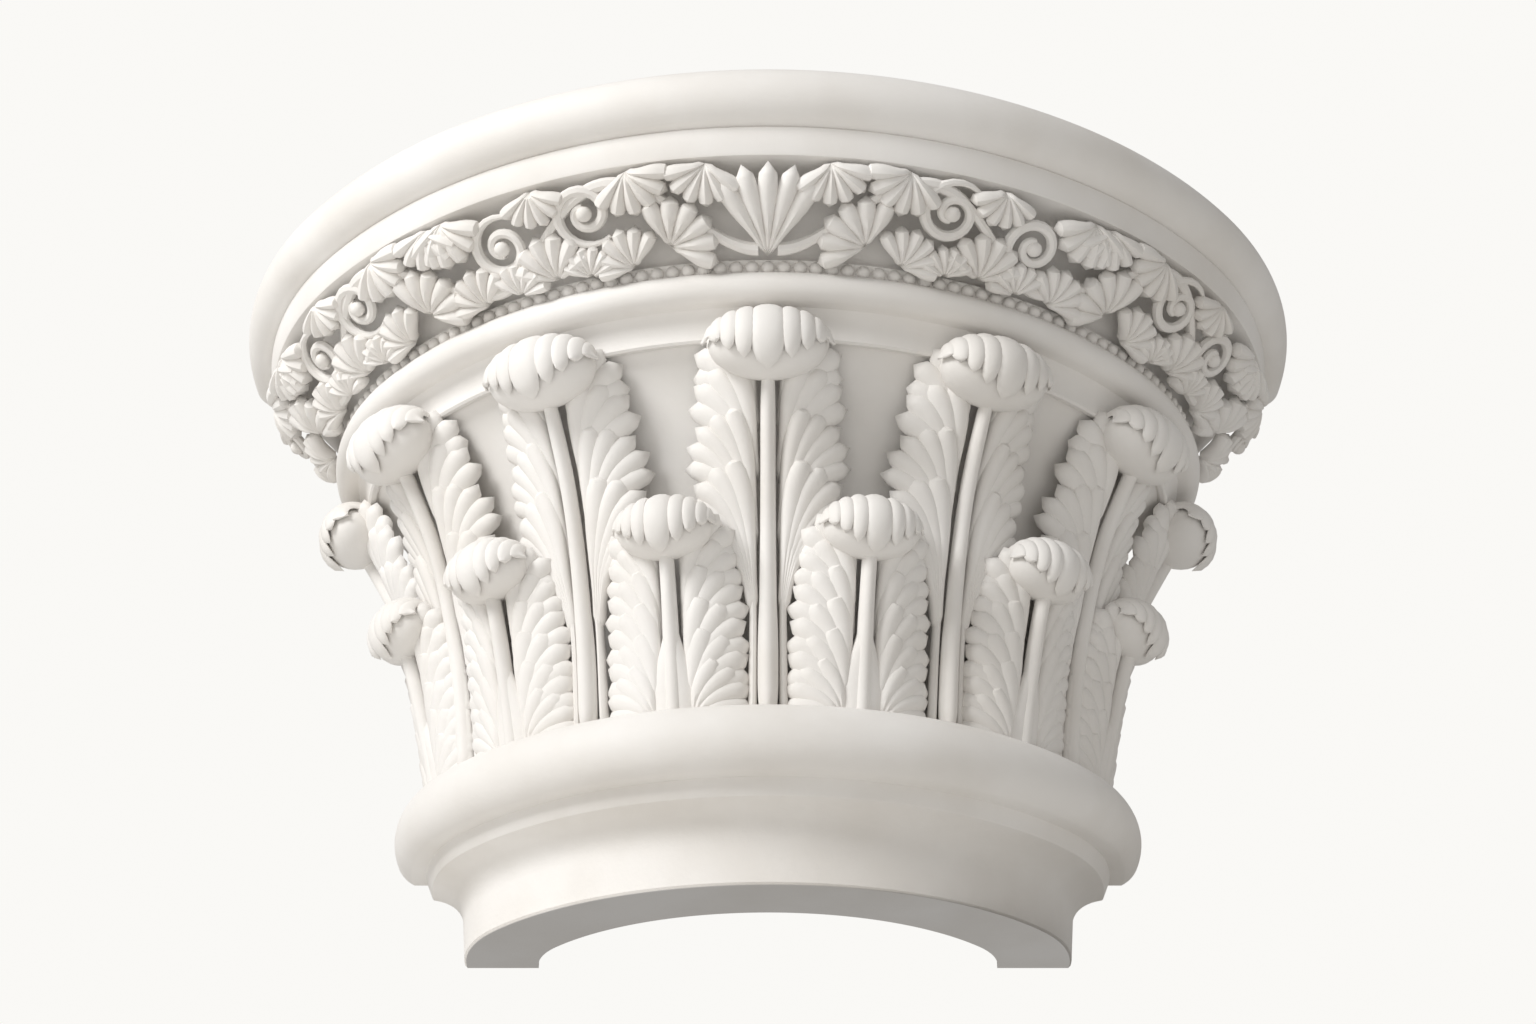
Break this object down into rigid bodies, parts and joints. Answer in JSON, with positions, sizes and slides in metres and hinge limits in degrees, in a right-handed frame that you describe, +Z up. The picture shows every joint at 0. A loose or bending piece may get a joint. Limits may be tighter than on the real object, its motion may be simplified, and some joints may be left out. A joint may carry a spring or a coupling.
{
  "type": "corinthian capital",
  "caption": "Half-round Corinthian capital in white plaster, with two rows of acanthus leaves, a pierced scroll frieze and a torus at top and foot.",
  "frame": {"origin": "centre of the bounding box, on the underside", "axes": "+Z up, the carved front faces -Y, the flat back faces +Y"},
  "size_m": [0.9676, 0.4266, 0.598],
  "materials": {
    "plaster": "matte"
  },
  "bodies": {
    "root": {"capital": "plaster"}
  },
  "joints": []
}
